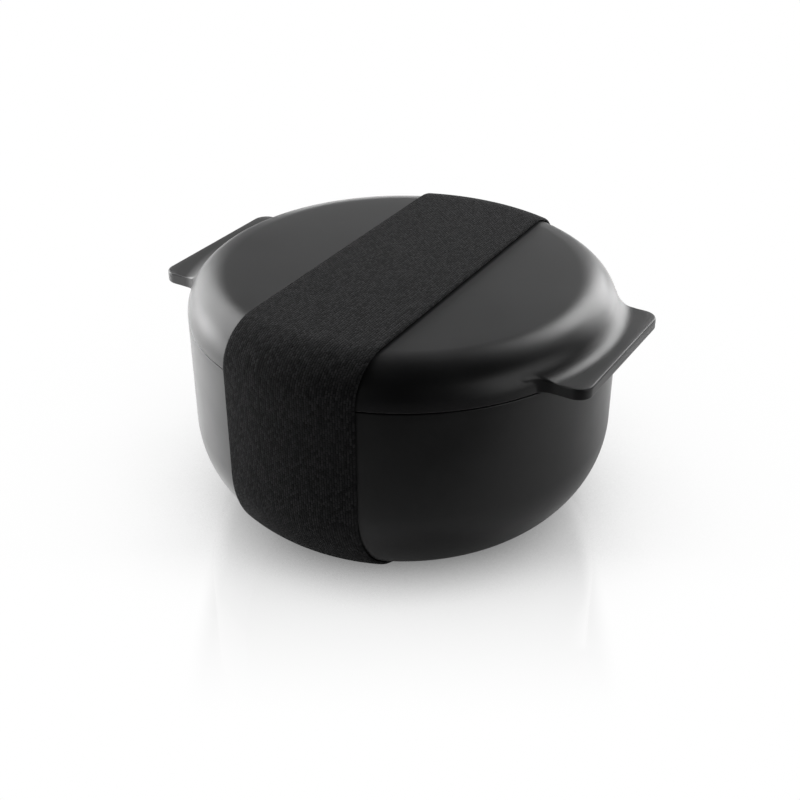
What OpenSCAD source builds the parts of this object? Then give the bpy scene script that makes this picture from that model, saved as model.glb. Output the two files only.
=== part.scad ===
// Round double-walled lunch bowl with a push-on lid and a wide elastic strap.
// Millimetres, +Z up. The origin is on the floor, under the middle of the bowl.
// The strap loops over the lid in the YZ plane, and the lid's two grips point along X.

/* [Outer bowl] */
// Radius of the flat base
base_r = 39; // [36:0.5:48]
// Radius of the round corner between base and wall
corner_r = 37.4; // [32:0.2:42]
// Lean of the wall, outwards to the rim
bowl_draft = 0.1; // [0.1:0.1:1.2]
// Height of the rim above the floor
rim_z = 77.5; // [70:0.5:95]
// Thickness of the outer bowl
bowl_wall = 2.4; // [1.8:0.1:3]
// Thickness of the lip that is left outside the inner bowl's seat
rim_lip = 1.2; // [0.8:0.1:1.5]
// Radius of the rim's outer edge
rim_edge_r = 0.4; // [0.2:0.1:0.6]

/* [Inner bowl] */
// Distance through the double wall, from the bowl's outside to the inner bowl's inside
wall_space = 8; // [8:0.5:13]
// Inside radius of the inner bowl's corner
liner_corner_r = 28.5; // [22:0.5:32]
// Lean of the inner wall, outwards to the rim
liner_draft = 0.5; // [0.2:0.1:1]
// Thickness of the inner bowl
liner_wall = 1.8; // [1.2:0.1:2.2]
// Thickness of the flange that seats in the rim
flange_t = 1.8; // [1.2:0.1:3]
// Radius of the lip between the inner wall and the flange's top
lip_r = 0.8; // [0.4:0.1:1]

/* [Feet] */
// Middle radius of the two foot strips
foot_r = 35.5; // [34:0.5:37]
// Width of a foot strip
foot_w = 6; // [3:0.5:6]
// Height that a strip stands out of the base
foot_proud = 1; // [0.6:0.1:1.5]
// Depth of the groove that holds a strip
foot_groove = 1; // [0.5:0.1:1.4]

/* [Lid] */
// Overhang of the lid past the bowl's rim
lid_overhang = 0; // [0:0.1:1]
// Open seam between rim and lid
seam_gap = 0.3; // [0.2:0.1:0.6]
// Radius of the lid's lower edge
lid_edge_r = 0.8; // [0.4:0.1:1.2]
// Radius of the lower part of the shoulder
shoulder_low_r = 12.6; // [11:0.2:15]
// Radius of the upper part of the shoulder
shoulder_top_r = 16; // [15.2:0.2:20]
// Angle at which the two shoulder arcs meet
shoulder_turn = 50; // [40:1:60]
// Thickness of the lid's shell
lid_wall = 2.4; // [1.8:0.1:3]

/* [Grips] */
// Distance from the middle to a grip's outer edge
grip_reach = 85; // [82:0.5:95]
// Half the width of a grip
grip_half_w = 31; // [20:0.5:34]
// Thickness of a grip
grip_t = 3.9; // [3:0.1:5]
// Radius of a grip's outer corners
grip_corner_r = 5; // [3:0.5:8]
// Radius of the hollow between shoulder and grip
grip_cove_r = 8; // [5:0.5:9]
// Radius in plan between the grip's side and the lid's wall
grip_side_r = 5; // [3:0.5:8]

/* [Lid inside] */
// Depth that the plug reaches below the rim
plug_depth = 4; // [2:0.5:8]
// Clearance between plug and inner bowl
plug_clear = 0.8; // [0.5:0.1:1.5]
// Thickness of the plug's collar and plate
plug_wall = 1.8; // [1.2:0.1:2.5]
// Radius between the collar and the plate's underside
plug_corner_r = 1.2; // [0.6:0.1:2]
// Height from the rim to the underside of the plate
plate_rise = 3.8; // [3:0.2:5]
// Thickness of the flange that carries the seal
seal_flange_t = 3; // [2.6:0.1:3.2]
// Width of the seal ring
seal_w = 3; // [2:0.1:3.4]
// Height of the seal ring
seal_h = 2; // [1.2:0.1:2.2]
// Radius of the seal's lower edges, which close on the rim
seal_edge_r = 0.8; // [0.4:0.1:0.9]
// Distance from the plug to the seal's groove
seal_inset = 1.4; // [1:0.1:1.6]
// Width of the ledge that the flange seats against
ledge_w = 2.2; // [1.4:0.1:2.6]
// Height of that ledge
ledge_t = 2; // [1:0.1:3]

/* [Strap] */
// Width of the elastic band
strap_w = 50; // [30:1:54]
// Thickness of the band
strap_t = 1.1; // [0.8:0.1:2]
// Length of the patch sewn over the butted ends
patch_l = 26; // [16:1:40]
// Thickness of that patch
patch_t = 1.2; // [0.6:0.1:1.5]
// Distance of the patch's edges from the band's edges
patch_inset = 1; // [0:0.5:4]
// Slit between the butted ends
butt_gap = 0.6; // [0.3:0.1:1.5]

/* [Clearances] */
// Between the floor and the patch
floor_gap = 1.2; // [0.8:0.1:3]
// Between the strap and what it lies on
strap_gap = 0.2; // [0.15:0.05:0.6]
// Between the strap's edge and the side of its channel
channel_gap = 2; // [1:0.5:3]
// Between the channel's side and a foot strip
foot_gap = 2; // [1:0.5:3]
// Between fixed pieces that nest
nest_fit = 0.2; // [0.1:0.05:0.3]
// Between the lid's shell and the rim of the flange inside it
lid_fit = 0.6; // [0.5:0.1:1]
// Depth of the grips' side fillets inside the lid's wall, which leans in above its lower edge
side_sink = 0.6; // [0.5:0.1:1]

/* [Hidden] */
$fn = 160;
// Largest turn between two points of an arc, and of an arc below fine_r
arc_step = 6;
fine_step = 15;
fine_r = 3;

// Longer than any piece, for cuts that run right through
far = 4 * (base_r + corner_r);
// What a cut reaches past the face that it opens
over = 1;

base_z = foot_proud;
corner_z = base_z + corner_r;

// Heights in the strap's channel, from the floor up
patch_z = floor_gap;
band_z = patch_z + patch_t;
roof_z = band_z + strap_t + strap_gap;
channel_half = strap_w / 2 + channel_gap;

// The inner bowl stands on the channel's roof
seat_z = roof_z + bowl_wall;
liner_base_r = base_r + corner_r - wall_space - liner_corner_r;
liner_floor_z = seat_z + liner_wall;
liner_corner_z = liner_floor_z + liner_corner_r;

rim_r = wall_r(base_r, corner_r, corner_z, bowl_draft, rim_z);
liner_rim_r = wall_r(liner_base_r, liner_corner_r, liner_corner_z, liner_draft, rim_z);
rim_seat_r = rim_r - rim_lip;
rim_seat_z = rim_z - flange_t;
rim_edge_z = rim_z - rim_edge_r;
rim_edge_c = [wall_r(base_r, corner_r, corner_z, bowl_draft, rim_edge_z) - rim_edge_r / cos(bowl_draft),
              rim_edge_z];
flange_r = rim_seat_r - nest_fit;
lip_z = rim_z - lip_r;
lip_c = [wall_r(liner_base_r, liner_corner_r, liner_corner_z, liner_draft, lip_z) + lip_r / cos(liner_draft),
         lip_z];

lid_r = rim_r + lid_overhang;
lid_z = rim_z + seam_gap;
shoulder_z = lid_z + lid_edge_r;
low_c = [lid_r - shoulder_low_r, shoulder_z];
top_c = low_c - (shoulder_top_r - shoulder_low_r) * [cos(shoulder_turn), sin(shoulder_turn)];
lid_top_z = top_c.y + shoulder_top_r;

grip_top_z = lid_z + grip_t;
// The hollow's centre: its arc touches the shoulder's lower arc and the grip's top
cove_reach = shoulder_low_r + grip_cove_r;
cove_rise = grip_top_z + grip_cove_r - shoulder_z;
cove_c = low_c + [sqrt(cove_reach * cove_reach - cove_rise * cove_rise), cove_rise];
// Centre and far end of the fillet between a grip's side and the lid's wall
side_reach = lid_r - side_sink + grip_side_r;
side_y = grip_half_w + grip_side_r;
side_c = [sqrt(side_reach * side_reach - side_y * side_y), side_y];
side_end = side_c * (lid_r - side_sink) / side_reach;

plug_r = liner_rim_r - plug_clear;
plug_z = rim_z - plug_depth;
plug_tip_r = plug_wall / 2;
plate_z = rim_z + plate_rise;
ceiling_z = lid_top_z - lid_wall;
seal_flange_z = lid_z + seal_flange_t;
seal_flange_r = lid_r - lid_wall - lid_fit;
seal_r = plug_r + seal_inset;
ledge_r = seal_flange_r - ledge_w;
seal_out_r = seal_r + seal_w;
groove_z = rim_z + seal_h;
lid_core_r = top_c.x;

// Lean of the strap's side, where it is drawn tight between the bowl's corner and the lid's shoulder
strap_span = low_c - [base_r, corner_z];
strap_lean = heading([0, 0], strap_span) - acos((corner_r - shoulder_low_r) / norm(strap_span));

// Radius at height z of a wall that leaves its corner arc at a tangent and leans out by lean
function wall_r(flat_r, round_r, centre_z, lean, z) =
    flat_r + round_r * cos(lean) + (z - centre_z + round_r * sin(lean)) * tan(lean);

// Direction from one point to another, in degrees
function heading(from, to) = atan2(to.y - from.y, to.x - from.x);

// Points along an arc, both ends included
function arc(centre, r, from, to) =
    let (steps = ceil(abs(to - from) / (r < fine_r ? fine_step : arc_step)), turn = (to - from) / steps)
    [for (i = [0 : steps]) centre + r * [cos(from + i * turn), sin(from + i * turn)]];

// Points along an arc that carries on from a point already given
function arc_on(centre, r, from, to) =
    let (points = arc(centre, r, from, to))
    [for (i = [1 : len(points) - 1]) points[i]];

// The shoulder and flat top of the lid from an angle on the lower arc, grown by grow
function lid_top(grow, from) =
    concat(arc_on(low_c, shoulder_low_r + grow, from, shoulder_turn),
           arc_on(top_c, shoulder_top_r + grow, shoulder_turn, 90),
           [[0, lid_top_z + grow]]);

// Half section of a cup: flat base, round corner and a wall that leans out by lean.
// The outline is grown by grow all round, and its top is cut level.
module cup_section(flat_r, round_r, floor_z, lean, top_z, grow) {
    centre_z = floor_z + round_r;
    polygon(concat([[0, floor_z - grow]],
                   arc([flat_r, centre_z], round_r + grow, -90, -lean),
                   [[wall_r(flat_r, round_r + grow, centre_z, lean, top_z), top_z], [0, top_z]]));
}

// Half section of the outer bowl's outside, with the rim's edge rounded
module bowl_section() {
    polygon(concat([[0, base_z]],
                   arc([base_r, corner_z], corner_r, -90, -bowl_draft),
                   arc(rim_edge_c, rim_edge_r, -bowl_draft, 90),
                   [[0, rim_z]]));
}

// Half section of the space inside the outer bowl, shrunk by fit
module bowl_space(fit, top_z) {
    cup_section(base_r, corner_r, base_z, bowl_draft, top_z, -bowl_wall - fit);
}

// Half section of the inner bowl: inside, lip, flange and outside
module liner_section() {
    back_r = liner_corner_r + liner_wall;
    polygon(concat([[0, liner_floor_z]],
                   arc([liner_base_r, liner_corner_z], liner_corner_r, -90, -liner_draft),
                   arc(lip_c, lip_r, 180 - liner_draft, 90),
                   [[flange_r, rim_z], [flange_r, rim_seat_z],
                    [wall_r(liner_base_r, back_r, liner_corner_z, liner_draft, rim_seat_z), rim_seat_z]],
                   arc([liner_base_r, liner_corner_z], back_r, -liner_draft, -90),
                   [[0, seat_z]]));
}

// Half section of the lid's plate, plug collar and flange, with the seal's groove
module plug_section() {
    polygon(concat([[0, plate_z]],
                   arc([plug_r - plug_wall, plate_z] - plug_corner_r * [1, 1], plug_corner_r, 90, 0),
                   arc([plug_r - plug_tip_r, plug_z + plug_tip_r], plug_tip_r, 180, 360),
                   [[plug_r, lid_z], [seal_r - nest_fit, lid_z], [seal_r - nest_fit, groove_z],
                    [seal_out_r + nest_fit, groove_z], [seal_out_r + nest_fit, lid_z],
                    [seal_flange_r, lid_z], [seal_flange_r, seal_flange_z], [plug_r, seal_flange_z],
                    [plug_r, plate_z + plug_wall], [0, plate_z + plug_wall]]));
}

// Half section of the lid's inside
module lid_space() {
    polygon(concat([[0, lid_z - over], [lid_r - lid_wall, lid_z - over], [lid_r - lid_wall, shoulder_z]],
                   lid_top(-lid_wall, 0)));
}

// Half section of the lid with its lower edge rounded
module lid_edge_section() {
    polygon(concat([[0, lid_z]],
                   arc([lid_r - lid_edge_r, shoulder_z], lid_edge_r, -90, 0),
                   lid_top(0, 0)));
}

// Half section of the lid carried out into a grip, with the hollow between the two
module grip_section() {
    end_r = norm([grip_reach, grip_half_w]);
    polygon(concat([[0, lid_z], [end_r, lid_z], [end_r, grip_top_z]],
                   arc(cove_c, grip_cove_r, -90, heading(cove_c, low_c)),
                   lid_top(0, heading(low_c, cove_c))));
}

// Outline of one grip in plan, square to X, with round outer corners
module grip_plan() {
    corner_c = [grip_reach, grip_half_w] - grip_corner_r * [1, 1];
    polygon(concat([[0, grip_half_w], [0, -grip_half_w]],
                   arc([corner_c.x, -corner_c.y], grip_corner_r, -90, 0),
                   arc(corner_c, grip_corner_r, 0, 90)));
}

// Plan of the fillet between one side of a grip and the lid's wall
module grip_side_plan() {
    polygon(concat([[side_end.x, grip_half_w]],
                   arc(side_c, grip_side_r, -90, heading(side_c, [0, 0]))));
}

// Slab as wide as the grips and as long as the lid
module grip_slab() {
    translate([-far, -grip_half_w, lid_z])
        cube([2 * far, 2 * grip_half_w, far]);
}

// Block across the base, as wide as 2 * half_w, up to the height top_z
module base_block(half_w, top_z) {
    translate([-half_w, -far, -far])
        cube([2 * half_w, 2 * far, far + top_z]);
}

// Flat ring between two radii
module ring(inner_r, outer_r, bottom_z, height) {
    translate([0, 0, bottom_z])
        difference() {
            cylinder(r = outer_r, h = height);
            translate([0, 0, -over])
                cylinder(r = inner_r, h = height + 2 * over);
        }
}

// Foot strip on the side of +X, or its groove, with ends square to the channel
module foot_strip(bottom_z, top_z, fit) {
    end_x = channel_half + foot_gap - fit;
    intersection() {
        ring(foot_r - foot_w / 2 - fit, foot_r + foot_w / 2 + fit, bottom_z, top_z - bottom_z);
        translate([end_x, -far, -far])
            cube(2 * far);
    }
}

// The middle of the lid between the grips' sides, both grips, and the fillets beside them
module grips() {
    intersection() {
        rotate_extrude()
            grip_section();
        grip_slab();
        translate([0, 0, lid_z])
            linear_extrude(far)
                for (turned = [0, 180])
                    rotate(turned)
                        grip_plan();
    }
    for (turned = [0, 180], flipped = [0, 1])
        rotate(turned)
            mirror([0, flipped, 0])
                translate([0, 0, lid_z])
                    linear_extrude(grip_t)
                        grip_side_plan();
}

module outer_bowl() {
    color("#1d1d1e")
        difference() {
            rotate_extrude()
                bowl_section();
            difference() {
                rotate_extrude()
                    bowl_space(0, rim_z + over);
                base_block(channel_half + bowl_wall, seat_z);
            }
            translate([0, 0, rim_seat_z])
                cylinder(r = rim_seat_r, h = flange_t + over);
            base_block(channel_half, roof_z);
            for (turned = [0, 180])
                rotate(turned)
                    foot_strip(base_z - over, base_z + foot_groove, nest_fit);
        }
}

module inner_bowl() {
    color("#232324")
        rotate_extrude()
            liner_section();
}

module bowl_insulation() {
    color("#d9d2c0")
        difference() {
            rotate_extrude()
                bowl_space(nest_fit, rim_seat_z - nest_fit);
            rotate_extrude()
                cup_section(liner_base_r, liner_corner_r, liner_floor_z, liner_draft, rim_z,
                            liner_wall + nest_fit);
            base_block(channel_half + bowl_wall + nest_fit, seat_z + nest_fit);
        }
}

module foot_right() {
    color("#2a2a2b")
        foot_strip(0, base_z + foot_groove, 0);
}

module foot_left() {
    color("#2a2a2b")
        rotate(180)
            foot_strip(0, base_z + foot_groove, 0);
}

module lid_shell() {
    color("#1d1d1e")
        union() {
            difference() {
                union() {
                    difference() {
                        rotate_extrude()
                            lid_edge_section();
                        grip_slab();
                    }
                    grips();
                }
                rotate_extrude()
                    lid_space();
            }
            ring(ledge_r, seal_flange_r + lid_wall / 2, seal_flange_z, ledge_t);
        }
}

module lid_liner() {
    color("#232324")
        rotate_extrude()
            plug_section();
}

module lid_insulation() {
    color("#d9d2c0")
        translate([0, 0, plate_z + plug_wall])
            cylinder(r = lid_core_r, h = ceiling_z - plate_z - plug_wall);
}

module lid_seal() {
    color("#4a4b4d")
        rotate_extrude()
            polygon(concat(arc([seal_r, rim_z] + seal_edge_r * [1, 1], seal_edge_r, 180, 270),
                           arc([seal_out_r - seal_edge_r, rim_z + seal_edge_r], seal_edge_r, 270, 360),
                           [[seal_out_r, groove_z], [seal_r, groove_z]]));
}

// Space inside the strap's loop when lift is strap_gap, and its outside when a thickness is added.
// It is drawn tight from the bowl's corner to the lid's shoulder, and below it turns into the channel.
module strap_space(lift) {
    intersection() {
        rotate_extrude()
            polygon(concat([[0, base_z - lift]],
                           arc([base_r, corner_z], corner_r + lift, -90, strap_lean),
                           arc(low_c, shoulder_low_r + lift, strap_lean, shoulder_turn),
                           arc_on(top_c, shoulder_top_r + lift, shoulder_turn, 90),
                           [[0, lid_top_z + lift]]));
        translate([-far, -far, roof_z - lift])
            cube(2 * far);
    }
}

module strap_band() {
    color("#202021")
        intersection() {
            difference() {
                strap_space(strap_gap + strap_t);
                strap_space(strap_gap);
                translate([-far, -butt_gap / 2, -far])
                    cube([2 * far, butt_gap, far + seat_z]);
            }
            translate([-strap_w / 2, -far, -far])
                cube([strap_w, 2 * far, 2 * far]);
        }
}

module strap_patch() {
    patch_w = strap_w - 2 * patch_inset;
    color("#262627")
        translate([-patch_w / 2, -patch_l / 2, patch_z])
            cube([patch_w, patch_l, patch_t]);
}

outer_bowl();
inner_bowl();
bowl_insulation();
foot_left();
foot_right();
lid_shell();
lid_liner();
lid_insulation();
lid_seal();
strap_band();
strap_patch();
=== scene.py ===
import math

import bmesh
import bpy
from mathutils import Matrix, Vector


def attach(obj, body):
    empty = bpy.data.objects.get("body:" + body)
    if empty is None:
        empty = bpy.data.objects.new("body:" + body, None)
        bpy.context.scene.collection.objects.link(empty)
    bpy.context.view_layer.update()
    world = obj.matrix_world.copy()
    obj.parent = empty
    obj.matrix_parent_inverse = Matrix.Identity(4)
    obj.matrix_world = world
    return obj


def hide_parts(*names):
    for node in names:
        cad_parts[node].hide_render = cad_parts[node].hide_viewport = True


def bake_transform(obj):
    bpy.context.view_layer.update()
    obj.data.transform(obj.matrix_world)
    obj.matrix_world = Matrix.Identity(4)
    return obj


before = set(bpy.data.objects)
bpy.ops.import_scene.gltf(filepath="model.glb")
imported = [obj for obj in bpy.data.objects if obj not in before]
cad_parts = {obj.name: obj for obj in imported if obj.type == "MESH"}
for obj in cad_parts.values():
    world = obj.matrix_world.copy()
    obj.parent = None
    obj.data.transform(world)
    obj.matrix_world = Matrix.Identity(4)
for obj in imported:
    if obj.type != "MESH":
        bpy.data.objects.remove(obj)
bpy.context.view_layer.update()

# Outer bowl
# The bowl's outside is one moulding of black polypropylene, with a round corner and a wall that is nearly
# upright. A channel under the base takes the strap, and two grooves take the rubber foot strips.
MM = 0.001
base_r, corner_r, base_z, rim_z, lean = 39.0, 37.4, 1.0, 77.5, 0.1
corner_z = base_z + corner_r
bowl_wall, rim_lip, flange_t, rim_edge_r = 2.4, 1.2, 1.8, 0.4
channel_half, roof_z, seat_z = 27.0, 3.7, 6.1
foot_r, foot_w, foot_top_z, foot_end_x = 35.5, 6.0, 2.0, 29.0
fit, hair = 0.2, 0.05


def wall_r(flat_r, round_r, centre_z, lean, z):
    """Radius at a height of a wall that leaves its corner arc at a tangent and leans out by some degrees."""
    slope = math.radians(lean)
    return flat_r + round_r * math.cos(slope) + (z - centre_z + round_r * math.sin(slope)) * math.tan(slope)


def flat(z, *radii):
    """Points along a level face in a half section."""
    return [(r, z) for r in radii]


def arc(centre_r, centre_z, radius, start, end, steps):
    """Points of an arc in a half section, from one angle to another in degrees."""
    turns = [math.radians(start + (end - start) * i / steps) for i in range(steps + 1)]
    return [(centre_r + radius * math.cos(t), centre_z + radius * math.sin(t)) for t in turns]


def skin(name, rows, wrap_rows=True, wrap_points=True, caps=False):
    """A smooth mesh over rows of points in millimetres."""
    mesh = bmesh.new()
    grid = [[mesh.verts.new(Vector(p) * MM) for p in row] for row in rows]
    size = len(rows[0])
    for i in range(len(grid) if wrap_rows else len(grid) - 1):
        a, b = grid[i], grid[(i + 1) % len(grid)]
        for j in range(size if wrap_points else size - 1):
            k = (j + 1) % size
            mesh.faces.new((a[j], b[j], b[k], a[k]))
    if caps:
        mesh.faces.new(grid[0])
        mesh.faces.new(grid[-1])
    bmesh.ops.remove_doubles(mesh, verts=mesh.verts, dist=1e-7)
    bmesh.ops.recalc_face_normals(mesh, faces=mesh.faces)
    return piece_of(name, mesh)


def piece_of(name, mesh):
    """An object from a mesh, smooth but for the edges where its faces turn by over 35 degrees."""
    for face in mesh.faces:
        face.smooth = True
    for edge in mesh.edges:
        edge.smooth = len(edge.link_faces) == 2 and edge.calc_face_angle(0) < math.radians(35)
    data = bpy.data.meshes.new(name)
    mesh.to_mesh(data)
    mesh.free()
    piece = bpy.data.objects.new(name, data)
    bpy.context.scene.collection.objects.link(piece)
    return piece


def turned(name, section, closed=False, steps=192):
    """A half section turned about Z. A section that starts and ends on the axis isn't closed."""
    turns = [2 * math.pi * i / steps for i in range(steps)]
    rows = [[(r * math.cos(t), r * math.sin(t), z) for r, z in section] for t in turns]
    return skin(name, rows, wrap_points=closed)


def cut(piece, *tools):
    """The mesh of a piece with the tools taken away from it. The piece and the tools are deleted."""
    for tool in tools:
        step = piece.modifiers.new("cut", "BOOLEAN")
        step.operation = "DIFFERENCE"
        step.solver = "EXACT"
        step.object = tool
    bpy.context.view_layer.update()
    seen = piece.evaluated_get(bpy.context.evaluated_depsgraph_get())
    mesh = bmesh.new()
    mesh.from_mesh(seen.to_mesh())
    seen.to_mesh_clear()
    for old in (piece, *tools):
        bpy.data.objects.remove(old)
    return mesh


def block(name, low, high):
    """A box between two corners, for cutting."""
    (x0, y0, z0), (x1, y1, z1) = low, high
    ends = [[(x, y0, z0), (x, y1, z0), (x, y1, z1), (x, y0, z1)] for x in (x0, x1)]
    return skin(name, ends, wrap_rows=False, caps=True)


def foot_rows(side, grow, bottom, edge_r, half_steps=24):
    """Rows of points along the foot strip on one side. Its ends stand square to the channel."""
    low, high = foot_r - foot_w / 2 - grow + edge_r, foot_r + foot_w / 2 + grow - edge_r
    floor, roof = bottom + edge_r, foot_top_z - edge_r
    section = []
    for r, z, start in ((high, floor, -90), (high, roof, 0), (low, roof, 90), (low, floor, 180)):
        section += arc(r, z, edge_r, start, start + 90, steps=4)
    rows = []
    for i in range(2 * half_steps + 1):
        turns = [(r, z, (i / half_steps - 1) * math.acos((foot_end_x - grow) / r)) for r, z in section]
        rows.append([(side * r * math.cos(t), side * r * math.sin(t), z) for r, z, t in turns])
    return rows


bowl = base_r, corner_r, corner_z, lean
rim_r = wall_r(*bowl, rim_z)
seat_r = rim_r - rim_lip
rim_edge_z, rim_seat_z = rim_z - rim_edge_r, rim_z - flange_t
outside = (flat(base_z, 0, 20) + arc(base_r, corner_z, corner_r, -90, -lean, steps=60)
           + [(wall_r(*bowl, z), z) for z in (45, 52, 60, 68, 74)]
           + arc(wall_r(*bowl, rim_edge_z) - rim_edge_r, rim_edge_z, rim_edge_r, -lean, 90, steps=5))
# The floor inside lies a hair under the inner bowl
inside_r, floor_z = corner_r - bowl_wall, seat_z - hair
floor_turn = -math.degrees(math.asin((corner_z - floor_z) / inside_r))
inside = ([(seat_r, rim_z), (seat_r, rim_seat_z), (rim_r - bowl_wall, rim_seat_z)]
          + arc(base_r, corner_z, inside_r, -lean, floor_turn, steps=40) + flat(floor_z, 0))
solid = turned("bowl_blank", outside + inside)
# The tools that cut channel and grooves reach well past the base, and the grooves are sharp
far, below, groove_below, sharp = 120, 20, 4, 0.05
channel = block("channel", (-channel_half, -far, -below), (channel_half, far, roof_z))
grooves = [skin("groove", foot_rows(side, fit, base_z - groove_below, sharp), wrap_rows=False, caps=True)
           for side in (1, -1)]
outer_bowl = piece_of("bowl_outside", cut(solid, channel, *grooves))


def linear(code):
    """Linear colour of an sRGB hex code."""
    parts = [int(code[i:i + 2], 16) / 255 for i in (1, 3, 5)]
    return [c / 12.92 if c <= 0.04045 else ((c + 0.055) / 1.055) ** 2.4 for c in parts] + [1]


def add(tree, kind, sockets=None, stops=(), **settings):
    """Adds a shader node. A socket gets a value or another node's output, and a ramp gets its stops."""
    made = tree.nodes.new("ShaderNode" + kind)
    for key, value in settings.items():
        setattr(made, key, value)
    for key, value in (sockets or {}).items():
        if isinstance(value, bpy.types.NodeSocket):
            tree.links.new(value, made.inputs[key])
        else:
            made.inputs[key].default_value = value
    for i, (at, colour) in enumerate(stops):
        stop = made.color_ramp.elements[i] if i < 2 else made.color_ramp.elements.new(at)
        stop.position, stop.color = at, colour
    return made


def moulded(name, dark, light, rough, grain_mm, depth_mm):
    """Moulded plastic or rubber: a fine even grain from the mould, and faint clouds from being handled."""
    cloud_mm, rough_varies = 18, 0.025
    made = bpy.data.materials.new(name)
    made.use_nodes = True
    tree = made.node_tree
    shader = tree.nodes["Principled BSDF"]
    place = add(tree, "TexCoord").outputs["Object"]
    clouds = add(tree, "TexNoise", {"Vector": place, "Scale": 1000 / cloud_mm, "Detail": 3}).outputs["Fac"]
    grain = add(tree, "TexNoise", {"Vector": place, "Scale": 1000 / grain_mm, "Detail": 2}).outputs["Fac"]
    tint = add(tree, "ValToRGB", {"Fac": clouds}, [(0.35, linear(dark)), (0.65, linear(light))])
    tree.links.new(tint.outputs["Color"], shader.inputs["Base Color"])
    spread = add(tree, "MapRange", {"Value": clouds, "From Min": 0.3, "From Max": 0.7,
                                    "To Min": rough - rough_varies, "To Max": rough + rough_varies})
    tree.links.new(spread.outputs["Result"], shader.inputs["Roughness"])
    relief = add(tree, "Bump", {"Height": grain, "Strength": 0.6, "Distance": depth_mm * MM})
    tree.links.new(relief.outputs["Normal"], shader.inputs["Normal"])
    shader.inputs["IOR"].default_value = 1.49
    return made


# Black polypropylene from a spark-eroded mould: a soft, even gloss without a mirror image.
# The real grain is about 0.1 mm, and it is drawn at 0.45 mm so that it shows.
black_polypropylene = moulded("black_polypropylene", "#171718", "#1b1b1c", 0.36, 0.45, 0.006)
outer_bowl.data.materials.append(black_polypropylene)
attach(outer_bowl, "bowl")
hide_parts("outer_bowl")

# Foot strips
# Two curved strips of black silicone rubber are pressed into grooves in the base, one on each side of the
# strap. They hold the bowl level, clear of the strap's underside.
foot_edge_r = 0.4
# Silicone rubber from a polished mould, dulled by use: duller than the bowl.
silicone_feet = moulded("black_silicone_rubber", "#1d1d1e", "#232324", 0.62, 0.6, 0.01)
for side, label in ((1, "right"), (-1, "left")):
    strip = skin("foot_strip_" + label, foot_rows(side, 0, 0, foot_edge_r), wrap_rows=False, caps=True)
    strip.data.materials.append(silicone_feet)
    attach(strip, "bowl")
    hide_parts("foot_" + label)

# Bowl insulation
# Foam fills the space between the two bowls. It is sealed in, so it keeps the solid's plain shape, and so
# does the foam in the lid.

# Rigid polyurethane foam: cream, with open cells of about 0.8 mm where it was cut.
cell_mm, pit_mm = 0.8, 0.2
foam = bpy.data.materials.new("polyurethane_foam")
foam.use_nodes = True
tree = foam.node_tree
shader = tree.nodes["Principled BSDF"]
place = add(tree, "TexCoord").outputs["Object"]
cells = add(tree, "TexVoronoi", {"Vector": place, "Scale": 1000 / cell_mm}).outputs["Distance"]
tint = add(tree, "ValToRGB", {"Fac": cells}, [(0.1, linear("#e3dcc8")), (0.7, linear("#cfc6ad"))])
tree.links.new(tint.outputs["Color"], shader.inputs["Base Color"])
pits = add(tree, "Bump", {"Height": cells, "Strength": 0.7, "Distance": pit_mm * MM})
tree.links.new(pits.outputs["Normal"], shader.inputs["Normal"])
shader.inputs["Roughness"].default_value = 0.9
for name in ("bowl_insulation", "lid_insulation"):
    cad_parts[name].data.materials.clear()
    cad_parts[name].data.materials.append(foam)

# Inner bowl
# The food side of the double wall, a second polypropylene moulding. Its flange drops into the outer bowl's
# rim, where the two are welded.
liner_base_r, liner_corner_r, liner_floor_z, liner_wall, liner_lean = 39.9, 28.5, 7.9, 1.8, 0.5
liner_corner_z = liner_floor_z + liner_corner_r
liner = liner_base_r, liner_corner_r, liner_corner_z, liner_lean
liner_lip_r, flange_edge_r = 0.8, 0.3
flange_r = seat_r - fit
mouth_r = wall_r(*liner, rim_z)
liner_out_r = liner_corner_r + liner_wall
liner_seat_r = wall_r(liner_base_r, liner_out_r, liner_corner_z, liner_lean, rim_seat_z)
section = (flat(liner_floor_z, 0, 20)
           + arc(liner_base_r, liner_corner_z, liner_corner_r, -90, -liner_lean, steps=44)
           + [(wall_r(*liner, z), z) for z in (45, 55, 65, 72)]
           + arc(mouth_r + liner_lip_r, rim_z - liner_lip_r, liner_lip_r, 180, 90, steps=6)
           + arc(flange_r - flange_edge_r, rim_z - flange_edge_r, flange_edge_r, 90, 0, steps=4)
           + flat(rim_seat_z, flange_r, liner_seat_r)
           + arc(liner_base_r, liner_corner_z, liner_out_r, -liner_lean, -90, steps=40)
           + flat(seat_z, 0))
inner_bowl = turned("bowl_inside", section)
# The same polypropylene from a polished mould, so that food wipes off: smoother, with a clearer sheen.
satin_polypropylene = moulded("satin_polypropylene", "#1f1f20", "#242425", 0.3, 0.9, 0.003)
inner_bowl.data.materials.append(satin_polypropylene)
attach(inner_bowl, "bowl")
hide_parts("inner_bowl")

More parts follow.
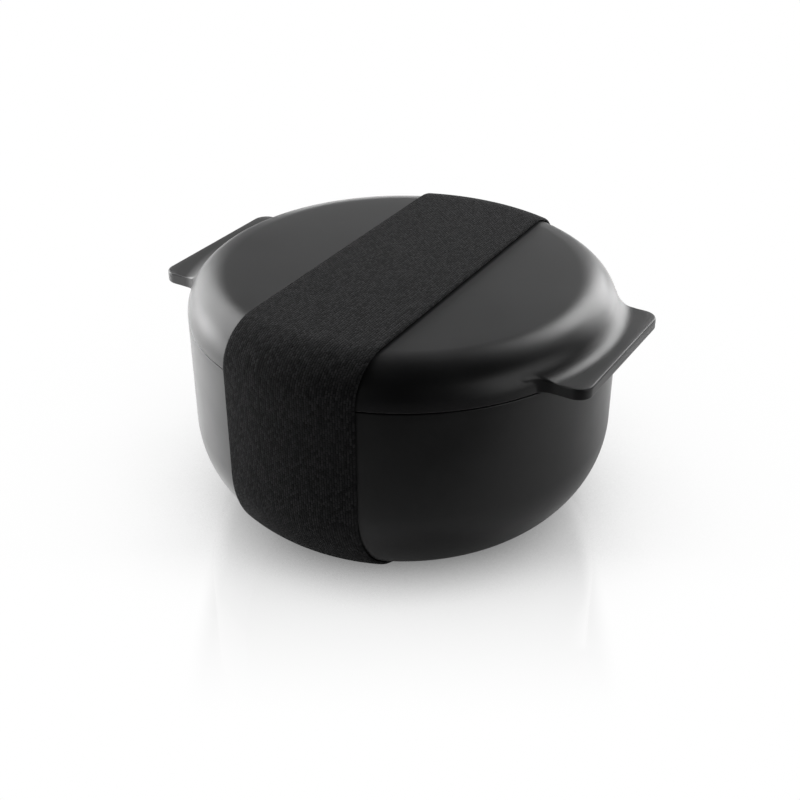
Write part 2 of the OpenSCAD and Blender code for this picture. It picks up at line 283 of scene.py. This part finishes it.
# Lid liner
# The lid's underside: a plate with a plug collar that drops into the bowl's mouth, and a flange with a
# groove for the seal. It is moulded in polypropylene and welded to the ledge inside the lid's shell.
seam_gap, plug_clear, plug_depth, plate_rise = 0.3, 0.8, 4.0, 3.8
plug_wall, plug_corner_r, lid_flange_t, lid_lip_r, lid_fit = 1.8, 1.2, 3.0, 0.3, 0.6
seal_w, seal_h, seal_inset = 3.0, 2.0, 1.4
lid_r, lid_z = rim_r, rim_z + seam_gap
plug_r, plug_z, plate_z = mouth_r - plug_clear, rim_z - plug_depth, rim_z + plate_rise
plate_top_z, flange_top_z, groove_z = plate_z + plug_wall, lid_z + lid_flange_t, rim_z + seal_h
seal_r = plug_r + seal_inset
groove_in_r, groove_out_r = seal_r - fit, seal_r + seal_w + fit
lid_flange_r = lid_r - bowl_wall - lid_fit
tip_r = plug_wall / 2
section = (flat(plate_z, 0, 40)
           + arc(plug_r - plug_wall - plug_corner_r, plate_z - plug_corner_r, plug_corner_r, 90, 0, steps=6)
           + arc(plug_r - tip_r, plug_z + tip_r, tip_r, -180, 0, steps=12)
           + flat(lid_z, plug_r, groove_in_r) + flat(groove_z, groove_in_r, groove_out_r)
           + flat(lid_z, groove_out_r)
           + arc(lid_flange_r - lid_lip_r, lid_z + lid_lip_r, lid_lip_r, -90, 0, steps=4)
           + flat(flange_top_z, lid_flange_r, plug_r) + flat(plate_top_z, plug_r, 0))
lid_liner = turned("lid_underside", section)
lid_liner.data.materials.append(satin_polypropylene)
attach(lid_liner, "lid")
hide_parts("lid_liner")

# Lid seal
# A ring of dark grey silicone rubber, moulded in one piece and pressed into the groove in the lid liner's
# flange. Its rounded lower face closes on the bowl's rim.
seal_low_r, seal_top_r = 1.1, 0.2
section = []
for r, z, round_r, start, steps in ((seal_w - seal_low_r, seal_low_r, seal_low_r, -90, 8),
                                    (seal_w - seal_top_r, seal_h - seal_top_r, seal_top_r, 0, 3),
                                    (seal_top_r, seal_h - seal_top_r, seal_top_r, 90, 3),
                                    (seal_low_r, seal_low_r, seal_low_r, 180, 8)):
    section += arc(seal_r + r, rim_z + z, round_r, start, start + 90, steps)
seal = turned("lid_seal_ring", section, closed=True)
# Food-grade silicone rubber: dark grey, smooth, with a soft wide sheen.
seal.data.materials.append(moulded("grey_silicone_rubber", "#454648", "#4d4e50", 0.5, 0.5, 0.006))
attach(seal, "lid")
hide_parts("lid_seal")

# Lid shell
# One moulding of the same black polypropylene as the bowl: a flat top, a shoulder of two arcs, and two flat
# grips that run out of the lower edge through a hollow. The grips' upper edges are rounded by 0.6 mm.
shoulder_rise, low_r, top_r, meet = 0.8, 12.6, 16.0, 50
shoulder_z = lid_z + shoulder_rise
low_c = (lid_r - low_r, shoulder_z)
top_c = (low_c[0] - (top_r - low_r) * math.cos(math.radians(meet)),
         low_c[1] - (top_r - low_r) * math.sin(math.radians(meet)))
top_z = top_c[1] + top_r
grip_reach, grip_half_w, grip_t, grip_corner_r, cove_r = 85.0, 31.0, 3.9, 5.0, 8.0
grip_edge_r, low_edge_r = 0.6, 0.4
grip_z = lid_z + grip_t
# The hollow touches the shoulder at this angle and radius, and the grip's top under its own centre
touch = math.degrees(math.asin((grip_z + cove_r - shoulder_z) / (low_r + cove_r)))
touch_r = low_c[0] + low_r * math.cos(math.radians(touch))
cove_c = (low_c[0] + (low_r + cove_r) * math.cos(math.radians(touch)), grip_z + cove_r)


def dome_r(z):
    """Radius of the lid at a height on the lower arc of its shoulder."""
    return low_c[0] + math.sqrt(low_r ** 2 - (z - shoulder_z) ** 2)


def line(start, end, steps, first=1):
    """Points spaced evenly on a line, without its end, and without its start unless first is 0."""
    return [tuple(a + (b - a) * i / steps for a, b in zip(start, end)) for i in range(first, steps)]


def lid_outside(reach, side_edge=1.0):
    """The lid's outside from its middle to its lower edge, where a grip or fillet reaches that far out."""
    points = flat(top_z, 0, 15, 30, 45, 55) + arc(*top_c, top_r, 90, meet, steps=12)
    points += arc(*low_c, low_r, meet, touch, steps=10)[1:]
    # The hollow runs down to the grip's top, or ends at the grip's side over a soft edge
    for hollow, z in arc(*cove_c, cove_r, 180 + touch, 270, steps=12)[1:]:
        soft = max(0, 1 - abs(hollow - reach) / side_edge) ** 2 * side_edge / 4
        points.append((max(dome_r(z), min(hollow, reach) - soft), z))
    # Then seven points, over the grip's upper edge or down the side
    stop = reach - grip_edge_r
    if stop > cove_c[0]:
        points += flat(grip_z, (cove_c[0] + stop) / 2)
        points += arc(stop, grip_z - grip_edge_r, grip_edge_r, 90, 0, steps=5)
    else:
        for share in (0.05, 0.1, 0.2, 0.35, 0.5, 0.75, 1):
            z = grip_z - share * grip_edge_r
            points.append((max(dome_r(z), reach), z))
    points += [(max(dome_r(shoulder_z + rise), reach), shoulder_z + rise) for rise in (1.5, 0.7, 0)]
    points += arc(max(lid_r, reach) - low_edge_r, lid_z + low_edge_r, low_edge_r, 0, -90, steps=5)
    return points + flat(lid_z, lid_r - bowl_wall)


# Half of a grip's plan, from its middle round the corner and along its side to the fillet's end on the wall.
# The fillet ends a little inside the lid's radius, because the wall leans in above its lower edge.
side_r, sink = 8.0, 0.6
side_end_r = lid_r - sink
side_c = math.sqrt((side_end_r + side_r) ** 2 - (grip_half_w + side_r) ** 2), grip_half_w + side_r
side_turn = math.degrees(math.atan2(side_c[1], side_c[0]))
corner_c = grip_reach - grip_corner_r, grip_half_w - grip_corner_r
half = (line((grip_reach, 0), (grip_reach, corner_c[1]), steps=10, first=0)
        + arc(*corner_c, grip_corner_r, 0, 90, steps=14)
        + line((corner_c[0], grip_half_w), (side_c[0], grip_half_w), steps=12)
        + arc(*side_c, side_r, 270, 180 + side_turn, steps=16))
columns = [(math.degrees(math.atan2(y, x)), math.hypot(x, y)) for x, y in half]
# The fillet dies away into the shoulder over a few degrees, and the rest of the quarter is plain
fade, fade_steps = 4, 8
for i in range(1, fade_steps):
    share = i / fade_steps
    columns.append((side_turn + fade * share, side_end_r - (side_end_r - touch_r) * share ** 2))
columns += line((side_turn + fade, 0), (90, 0), steps=36, first=0) + [(90, 0)]
columns += [(180 - turn, reach) for turn, reach in columns[-2::-1]]
columns += [(-turn, reach) for turn, reach in columns[-2:0:-1]]

# Inside, a ledge runs round over the liner's flange
ledge_w, ledge_t = 2.2, 2.0
ledge_r, ledge_z = lid_flange_r - ledge_w, flange_top_z + ledge_t
hollow_r = low_r - bowl_wall
under, over = (math.degrees(math.asin((z - shoulder_z) / hollow_r)) for z in (flange_top_z, ledge_z))
lid_inside = (arc(*low_c, hollow_r, 0, under, steps=3) + [(ledge_r, flange_top_z), (ledge_r, ledge_z)]
              + arc(*low_c, hollow_r, over, meet, steps=6)
              + arc(*top_c, top_r - bowl_wall, meet, 90, steps=8)[1:] + flat(top_z - bowl_wall, 0))
rows = []
for turn, reach in columns:
    x, y = math.cos(math.radians(turn)), math.sin(math.radians(turn))
    rows.append([(r * x, r * y, z) for r, z in lid_outside(reach) + lid_inside])
lid_shell = skin("lid_outside", rows, wrap_points=False)
lid_shell.data.materials.append(black_polypropylene)
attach(lid_shell, "lid")
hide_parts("lid_shell")

# Strap band
# One length of black elastic webbing, 50 mm wide, knitted from polyester over rubber threads. It is
# stretched over the lid, down two sides and through the channel in the base, where its ends butt.
strap_w, strap_t, strap_gap, butt_gap = 50.0, 1.1, 0.2, 0.6
# It lies a little askew, by this much for each millimetre along Y
askew = 0.014
# It is drawn tight from the bowl's corner to the lid's shoulder, at this lean
span = (low_c[0] - base_r, low_c[1] - corner_z)
strap_lean = math.degrees(math.atan2(span[1], span[0]) - math.acos((corner_r - low_r) / math.hypot(*span)))


def strap_line(x, lift, end):
    """Half of the strap's run to one end of Y, at a place across it and a height over what it lies on."""
    start = math.degrees(math.asin((roof_z - lift - corner_z) / (corner_r + lift)))
    side = arc(base_r, corner_z, corner_r + lift, start, strap_lean, steps=40)
    shoulder = (arc(*low_c, low_r + lift, strap_lean, meet, steps=16)
                + arc(*top_c, top_r + lift, meet, 90, steps=14)[1:])
    side += line(side[-1], shoulder[0], steps=7) + shoulder
    side = [(math.sqrt(r * r - (x - end * askew * math.sqrt(r * r - x * x)) ** 2), z) for r, z in side]
    butt, top = (butt_gap / 2, side[0][1]), (0, side[-1][1])
    points = line(butt, side[0], steps=16, first=0) + side + line(side[-1], top, steps=24) + [top]
    # The cloth turns into the channel in a soft bend: these points are smoothed over and over
    first, past, rounds = 12, 22, 10
    for _ in range(rounds):
        points[first:past] = [tuple((a + 2 * b + c) / 4 for a, b, c in zip(*points[i - 1:i + 2]))
                              for i in range(first, past)]
    return [(x - end * askew * y, end * y, z) for y, z in points]


# A ring of points round the band: across its top, round one edge, and the same again turned by half a turn
half_t = strap_t / 2
flat_half = strap_w / 2 - half_t
across = 40
ring = [(-flat_half + 2 * flat_half * i / across, strap_gap + strap_t) for i in range(across + 1)]
ring += arc(flat_half, strap_gap + half_t, half_t, 90, -90, steps=8)[1:-1]
ring += [(-x, 2 * (strap_gap + half_t) - h) for x, h in ring]
back, front = (list(zip(*[strap_line(x, h, end) for x, h in ring])) for end in (1, -1))
rows = back + front[-2::-1]
band = skin("elastic_band", rows, wrap_rows=False, caps=True)
middle = [row[across // 2] for row in rows]
run = [0.0]
for a, b in zip(middle, middle[1:]):
    run.append(run[-1] + math.dist(a, b))
weave = band.data.uv_layers.new(name="weave")
for loop in band.data.loops:
    i, j = divmod(loop.vertex_index, len(ring))
    weave.data[loop.index].uv = (ring[j][0] * MM, run[i] * MM)

# Knitted elastic webbing, stretched: staggered rows of long stitches, a dull black without any shine.
# The stitches are 0.85 mm apart and 1.5 mm long, and they wander a little, some seven times in 10 mm.
stitch_l, stitch_apart, stitch_mm = 1.5, 0.85, 0.25
sway_mm, sway_along, sway_across = 10 / 7, 0.9, 0.5
webbing = bpy.data.materials.new("knitted_elastic_webbing")
webbing.use_nodes = True
tree = webbing.node_tree
shader = tree.nodes["Principled BSDF"]
place = add(tree, "UVMap", uv_map="weave").outputs["UV"]
along = add(tree, "Mapping", {"Vector": place, "Rotation": (0, 0, math.pi / 2),
                              "Scale": (1 / MM, 1 / MM, 1)}).outputs["Vector"]
sway = add(tree, "TexNoise", {"Vector": along, "Scale": 1 / sway_mm, "Detail": 3}).outputs["Color"]
spot = add(tree, "VectorMath", {0: sway, 1: (sway_along, sway_across, 0), 2: along},
           operation="MULTIPLY_ADD")
knit = add(tree, "TexBrick", {"Vector": spot.outputs["Vector"], "Scale": 1, "Color1": linear("#19191a"),
                              "Color2": linear("#343435"), "Mortar": linear("#0c0c0d"), "Mortar Size": 0.2,
                              "Mortar Smooth": 1, "Brick Width": stitch_l, "Row Height": stitch_apart})
tree.links.new(knit.outputs["Color"], shader.inputs["Base Color"])
relief = add(tree, "Bump", {"Height": knit.outputs["Fac"], "Strength": 1, "Distance": stitch_mm * MM},
             invert=True)
tree.links.new(relief.outputs["Normal"], shader.inputs["Normal"])
shader.inputs["Roughness"].default_value = 0.9
shader.inputs["Specular IOR Level"].default_value = 0.12
shader.inputs["Sheen Weight"].default_value = 0.03
shader.inputs["Sheen Roughness"].default_value = 0.5
band.data.materials.append(webbing)
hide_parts("strap_band")
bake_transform(band)

# Strap patch
# A piece of the same webbing is sewn under the band's butted ends. It lies in the base channel, clear of the
# floor, and its two ends are thinned.
patch_l, patch_t, patch_z, patch_inset, patch_land, patch_steps = 26.0, 1.2, 1.2, 1.0, 0.02, 26
patch_half, patch_mid_z = strap_w / 2 - patch_inset, patch_z + patch_t / 2
round_r = patch_t / 2 - patch_land
section = (arc(patch_half - round_r, patch_mid_z, round_r, -90, 90, steps=8)
           + arc(round_r - patch_half, patch_mid_z, round_r, 90, 270, steps=8))
thin = {0: 0.55, 1: 0.9}
rows = []
for i in range(patch_steps + 1):
    y = -patch_l / 2 + patch_l * i / patch_steps
    share = thin.get(min(i, patch_steps - i), 1)
    rows.append([(x, y, patch_mid_z + (z - patch_mid_z) * share) for x, z in section])
patch = skin("seam_patch", rows, wrap_rows=False, caps=True)
weave = patch.data.uv_layers.new(name="weave")
for loop in patch.data.loops:
    weave.data[loop.index].uv = patch.data.vertices[loop.vertex_index].co[:2]
patch.data.materials.append(webbing)
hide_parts("strap_patch")
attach(patch, "strap_seam")

# Seam stitches
# Two zigzag rows of polyester thread go through patch and band, one on each side of the butted ends. Each
# leg lies on the patch's underside and dips into the cloth where the needle went through.
thread_r, stitch_w, leg, legs, leg_steps = 0.17, 4.0, 1.1, 42, 4
# Heights of a leg's end over the patch's underside and of its bow below that, in radii of the thread
end_rise, bow = 0.9, 1.3
# Bonded polyester thread: a touch lighter than the webbing, with a slight gloss from the twist.
thread = moulded("polyester_thread", "#2c2c2d", "#363637", 0.5, 0.3, 0.02)
for middle_y, label in ((6.5, "back"), (-6.5, "front")):
    rows = []
    for i in range(leg_steps * legs + 1):
        k, t = divmod(i / leg_steps, 1)
        x = (i / leg_steps - legs / 2) * leg
        y = middle_y + (t - 0.5 if k % 2 else 0.5 - t) * stitch_w
        z = patch_z + thread_r * (end_rise - bow * math.sin(math.pi * t))
        rows.append([(x, y + r, z + h) for r, h in arc(0, 0, thread_r, 0, 300, steps=5)])
    stitches = skin("stitch_row_" + label, rows, wrap_rows=False, caps=True)
    stitches.data.materials.append(thread)
    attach(stitches, "strap_seam")

# Floor, light and camera
# A white acrylic sheet carries the bowl, with a faint reflection and, as the camera sees it, a painted
# shadow.
# Soft boxes stand behind it on both sides, in front of a pale backdrop, and two weak fills stand on the
# camera's side.
eye_at = Vector((0.20869, -0.34860, 0.28346))
towards = Vector((eye_at.x, eye_at.y, 0)).normalized()
rightward = Vector((-towards.y, towards.x, 0))
floor = turned("floor", flat(0, 0, 200, 400, 1000, 3000, 8000), steps=64)
# Opal acrylic, polished: white, with a weak mirror image. To the camera it glows evenly, with a painted
# shadow round the bowl. Everything else sees it as the lamps light it, with painted shade on the camera's
# side and painted glare in two patches for glossy rays.
white_acrylic = bpy.data.materials.new("opal_acrylic_sheet")
white_acrylic.use_nodes = True
tree = white_acrylic.node_tree
shader = tree.nodes["Principled BSDF"]
shader.inputs["Roughness"].default_value = 0.5
place = add(tree, "TexCoord").outputs["Object"]
ahead = add(tree, "VectorMath", {0: place, 1: towards}, operation="DOT_PRODUCT").outputs["Value"]
beside = add(tree, "VectorMath", {0: place, 1: rightward}, operation="DOT_PRODUCT").outputs["Value"]
# The painted shadow is lighter ahead of the bowl than beside it. Each stop: openness to the sky, and
# brightness
openness = add(tree, "AmbientOcclusion", {"Distance": 0.14}, samples=8).outputs["AO"]
painted_shadow_lift = add(tree, "MapRange", {"Value": ahead, "From Min": 0.04, "From Max": 0.085, "To Max": 0.17},
            interpolation_type="SMOOTHSTEP").outputs["Result"]
openness = add(tree, "Math", {0: openness, 1: painted_shadow_lift}, operation="ADD").outputs["Value"]
painted_shadow_stops = ((0.0, 0.1), (0.08, 0.2), (0.25, 0.4), (0.35, 0.52), (0.43, 0.61), (0.5, 0.68), (0.575, 0.8),
          (0.65, 0.88), (0.72, 0.94), (0.775, 0.974), (0.85, 0.992), (0.95, 1.0))
painted_shade = add(tree, "ValToRGB", {"Fac": openness}, [(at, (v, v, v, 1)) for at, v in painted_shadow_stops]).outputs["Color"]
# The mirror image is strongest at the bowl and is gone 130 mm ahead of its middle and 70 mm beside it
mirror_share, image_strength = 0.2, 0.4
forth = add(tree, "Math", {0: ahead}, operation="ABSOLUTE").outputs["Value"]
aside = add(tree, "Math", {0: beside}, operation="ABSOLUTE").outputs["Value"]
share = add(tree, "MapRange", {"Value": forth, "From Min": 0.035, "From Max": 0.13, "To Min": mirror_share,
                               "To Max": 0}, interpolation_type="SMOOTHSTEP").outputs["Result"]
share = add(tree, "MapRange", {"Value": aside, "From Min": 0.062, "From Max": 0.07, "To Min": share,
                               "To Max": 0}, interpolation_type="SMOOTHSTEP").outputs["Result"]
remains = add(tree, "Math", {0: 1, 1: share}, operation="SUBTRACT").outputs["Value"]
glow = add(tree, "Emission", {"Color": painted_shade, "Strength": remains}).outputs["Emission"]
faint = add(tree, "Math", {0: share, 1: image_strength}, operation="MULTIPLY").outputs["Value"]
mirror = add(tree, "BsdfGlossy", {"Color": faint, "Roughness": 0.06}).outputs["BSDF"]
seen = add(tree, "AddShader", {0: glow, 1: mirror}).outputs["Shader"]
# The floor's colour is darker on the camera's side: painted shade, where the bowl's front mirrors it
white_level, painted_shade_level = 0.8, 0.12
tint = add(tree, "MapRange", {"Value": ahead, "From Min": 0.1, "From Max": 0.16, "To Min": white_level,
                              "To Max": painted_shade_level}, interpolation_type="SMOOTHSTEP").outputs["Result"]
tree.links.new(tint, shader.inputs["Base Color"])
# On the left and at the back on the right, the floor glows white to glossy rays only: painted light, which
# the
# bowl and lid mirror as white. Each patch: turn from the camera's side in degrees, cosines of the angles
# where it starts and where it is full, and strength
outward = add(tree, "VectorMath", {0: place}, operation="NORMALIZE").outputs["Vector"]
painted_glare_mask = 0
for turn, start, full, strength in ((255, 0.5, 0.85, 0.86), (143, 0.85, 0.98, 0.6)):
    way = math.cos(math.radians(turn)) * towards + math.sin(math.radians(turn)) * rightward
    facing = add(tree, "VectorMath", {0: outward, 1: way}, operation="DOT_PRODUCT").outputs["Value"]
    bright = add(tree, "MapRange", {"Value": facing, "From Min": start, "From Max": full,
                                    "To Max": strength}, interpolation_type="SMOOTHSTEP").outputs["Result"]
    painted_glare_mask = add(tree, "Math", {0: bright, 1: painted_glare_mask}, operation="MAXIMUM").outputs["Value"]
path = add(tree, "LightPath").outputs
mirrored = add(tree, "Math", {0: path["Is Glossy Ray"], 1: painted_glare_mask}, operation="MULTIPLY").outputs["Value"]
painted_glare_glow = add(tree, "Emission", {"Strength": mirrored}).outputs["Emission"]
lit = add(tree, "AddShader", {0: shader.outputs["BSDF"], 1: painted_glare_glow}).outputs["Shader"]
direct = add(tree, "Math", {0: path["Is Camera Ray"], 1: path["Is Transmission Ray"]},
             operation="MAXIMUM").outputs["Value"]
either = add(tree, "MixShader", {0: direct, 1: lit, 2: seen}).outputs["Shader"]
tree.links.new(either, tree.nodes["Material Output"].inputs["Surface"])
floor.data.materials.append(white_acrylic)

lamps_away, aim = 0.7, Vector((0, 0, 0.045))
# Each lamp: turn from the camera's side in degrees, height, width, tallness, and brightness of its face
for name, turn, up, width, tall, bright in (("left_softbox", 232, 0.40, 0.60, 0.78, 4.4),
                                            ("left_low_softbox", 254, 0.17, 0.50, 0.30, 4.6),
                                            ("right_softbox", 138, 0.41, 0.30, 0.62, 6.7),
                                            ("right_low_softbox", 119, 0.22, 0.26, 0.40, 1.3),
                                            ("right_low_strip", 133, 0.06, 0.20, 0.12, 5.0),
                                            ("right_back_strip", 163, 0.26, 0.16, 0.20, 0.5),
                                            ("right_fill", 62, 0.26, 0.58, 0.52, 1.25),
                                            ("left_fill", 305, 0.20, 0.40, 0.40, 1.6),
                                            ("back_strip", 180, 0.12, 0.30, 0.20, 2.3)):
    lamp = bpy.data.lights.new(name, "AREA")
    lamp.shape = "RECTANGLE"
    lamp.size, lamp.size_y, lamp.energy = width, tall, bright * math.pi * width * tall
    holder = bpy.data.objects.new(name, lamp)
    way = towards * math.cos(math.radians(turn)) + rightward * math.sin(math.radians(turn))
    holder.location = way * lamps_away + Vector((0, 0, up))
    holder.rotation_euler = (aim - holder.location).to_track_quat("-Z", "Y").to_euler()
    bpy.context.scene.collection.objects.link(holder)

# The backdrop is pale behind the bowl and dark on the camera's side. The camera itself sees it as white.
world = bpy.data.worlds.new("studio")
bpy.context.scene.world = world
world.use_nodes = True
tree = world.node_tree
around = add(tree, "TexCoord").outputs["Generated"]
behind = add(tree, "VectorMath", {0: around, 1: -towards}, operation="DOT_PRODUCT").outputs["Value"]
backdrop = add(tree, "MapRange", {"Value": behind, "From Min": 0.2, "From Max": 0.9, "To Max": 0.33},
               interpolation_type="SMOOTHSTEP").outputs["Result"]
direct = add(tree, "LightPath").outputs["Is Camera Ray"]
level = add(tree, "Math", {0: backdrop, 1: direct}, operation="MAXIMUM").outputs["Value"]
tree.links.new(level, tree.nodes["Background"].inputs["Strength"])
tree.nodes["Background"].inputs["Color"].default_value = (1, 1, 1, 1)

camera = bpy.data.cameras.new("camera")
camera.lens = 56.94
camera.sensor_width = 36
eye = bpy.data.objects.new("camera", camera)
eye.location = eye_at
look_at = Vector((-0.000357, -0.001688, 0.037228))
eye.rotation_euler = (look_at - eye.location).to_track_quat("-Z", "Y").to_euler()
bpy.context.scene.collection.objects.link(eye)
bpy.context.scene.camera = eye
bpy.context.scene.view_settings.view_transform = "Standard"
